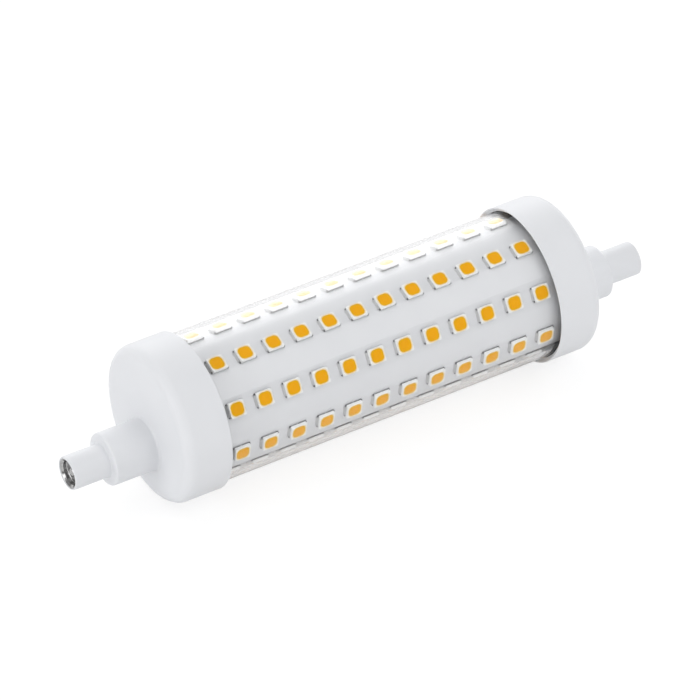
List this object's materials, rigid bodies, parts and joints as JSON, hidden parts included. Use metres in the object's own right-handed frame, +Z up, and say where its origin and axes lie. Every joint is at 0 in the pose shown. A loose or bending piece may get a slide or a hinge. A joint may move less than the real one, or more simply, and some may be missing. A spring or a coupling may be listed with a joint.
{
  "type": "linear led bulb",
  "caption": "Double-ended linear LED bulb: a clear tube over a rolled white board set with rows of LED packages, closed by white caps with stepped stubs and sunk contacts.",
  "frame": {"origin": "middle of the bulb, on the tube's axis", "axes": "+X along the tube, +Z up, with both stubs below the tube's axis"},
  "size_m": [0.1176, 0.0292, 0.0293],
  "materials": {
    "clear_tube": "clear and polished",
    "white_moulding": "smooth moulded, cool white",
    "plated_contact": "nickel plated",
    "white_board": "white solder mask",
    "white_package": "white moulded",
    "yellow_phosphor": "orange-yellow filled resin",
    "green_board": "green solder mask",
    "brown_block": "brown moulded",
    "black_moulding": "black moulded",
    "can_sleeve": "black shrunk sleeve",
    "ferrite": "sintered, dark grey",
    "copper_winding": "enamelled copper",
    "wire_sleeve": "white silicone sleeve",
    "plated_pin": "tinned"
  },
  "bodies": {
    "root": {"bridge_rectifier": "black_moulding", "chip_resistors": "black_moulding", "cover_tube": "clear_tube", "diode": "black_moulding", "driver_board": "green_board", "driver_chip": "black_moulding", "end_caps": "white_moulding", "end_contacts": "plated_contact", "fuse": "brown_block", "inductor_core": "ferrite", "inductor_winding": "copper_winding", "input_capacitor": "can_sleeve", "led_board": "white_board", "led_row_1_housings": "white_package", "led_row_1_phosphor": "yellow_phosphor", "led_row_2_housings": "white_package", "led_row_2_phosphor": "yellow_phosphor", "led_row_3_housings": "white_package", "led_row_3_phosphor": "yellow_phosphor", "led_row_4_housings": "white_package", "led_row_4_phosphor": "yellow_phosphor", "led_row_5_housings": "white_package", "led_row_5_phosphor": "yellow_phosphor", "led_row_6_housings": "white_package", "led_row_6_phosphor": "yellow_phosphor", "led_row_7_housings": "white_package", "led_row_7_phosphor": "yellow_phosphor", "led_row_8_housings": "white_package", "led_row_8_phosphor": "yellow_phosphor", "led_row_9_housings": "white_package", "led_row_9_phosphor": "yellow_phosphor", "left_lead_wire": "wire_sleeve", "link_pins": "plated_pin", "output_capacitor": "can_sleeve", "right_lead_wire": "wire_sleeve"}
  },
  "joints": []
}
